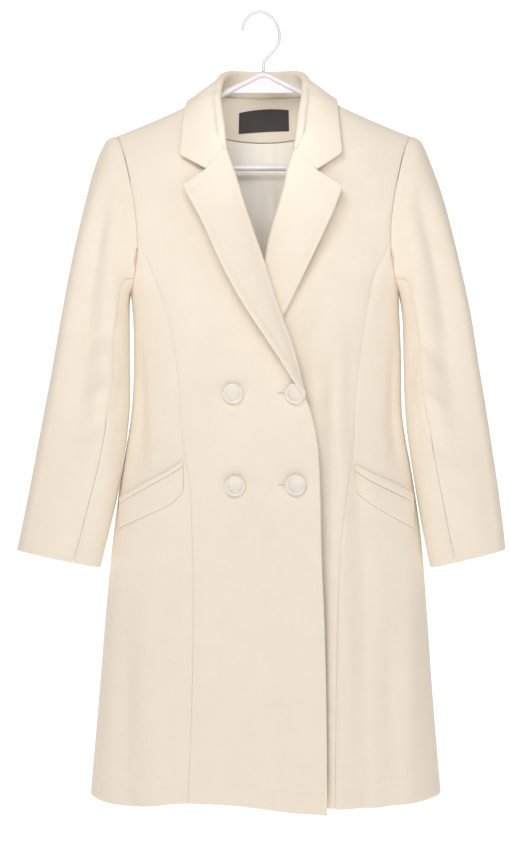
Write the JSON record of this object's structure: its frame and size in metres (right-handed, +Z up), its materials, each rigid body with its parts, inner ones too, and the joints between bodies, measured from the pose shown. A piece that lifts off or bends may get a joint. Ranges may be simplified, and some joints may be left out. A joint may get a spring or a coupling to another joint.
{
  "type": "wool coat on a hanger",
  "caption": "Cream double-breasted wool coat with a notched collar and welt pockets, hung on a white plastic hanger.",
  "frame": {"origin": "inner side of the hanger's hook, where a rail carries it", "axes": "+Z up, the coat's front faces -Y, the wearer's right side is at -X"},
  "size_m": [0.6705, 0.169, 1.0994],
  "materials": {
    "wool": "brushed cream wool cloth",
    "satin": "smooth cream lining satin",
    "label_weave": "dark woven tape",
    "button_plastic": "polished cream",
    "hanger_plastic": "smooth white moulding",
    "hook_coating": "white coating on a steel wire"
  },
  "bodies": {
    "root": {"front_right": "wool", "front_left": "wool", "side_front_right": "wool", "side_front_left": "wool", "back": "wool", "neck_facing": "wool", "label": "label_weave", "back_lining": "satin", "lapel_right": "wool", "lapel_left": "wool", "collar": "wool", "sleeve_upper_right": "wool", "sleeve_upper_left": "wool", "sleeve_under_right": "wool", "sleeve_under_left": "wool", "pocket_edge_right": "wool", "pocket_edge_left": "wool", "pocket_welt_right": "wool", "pocket_welt_left": "wool", "button_upper_right": "button_plastic", "button_lower_right": "button_plastic", "button_upper_left": "button_plastic", "button_lower_left": "button_plastic", "hanger_hook": "hook_coating", "hanger_body": "hanger_plastic"}
  },
  "joints": []
}
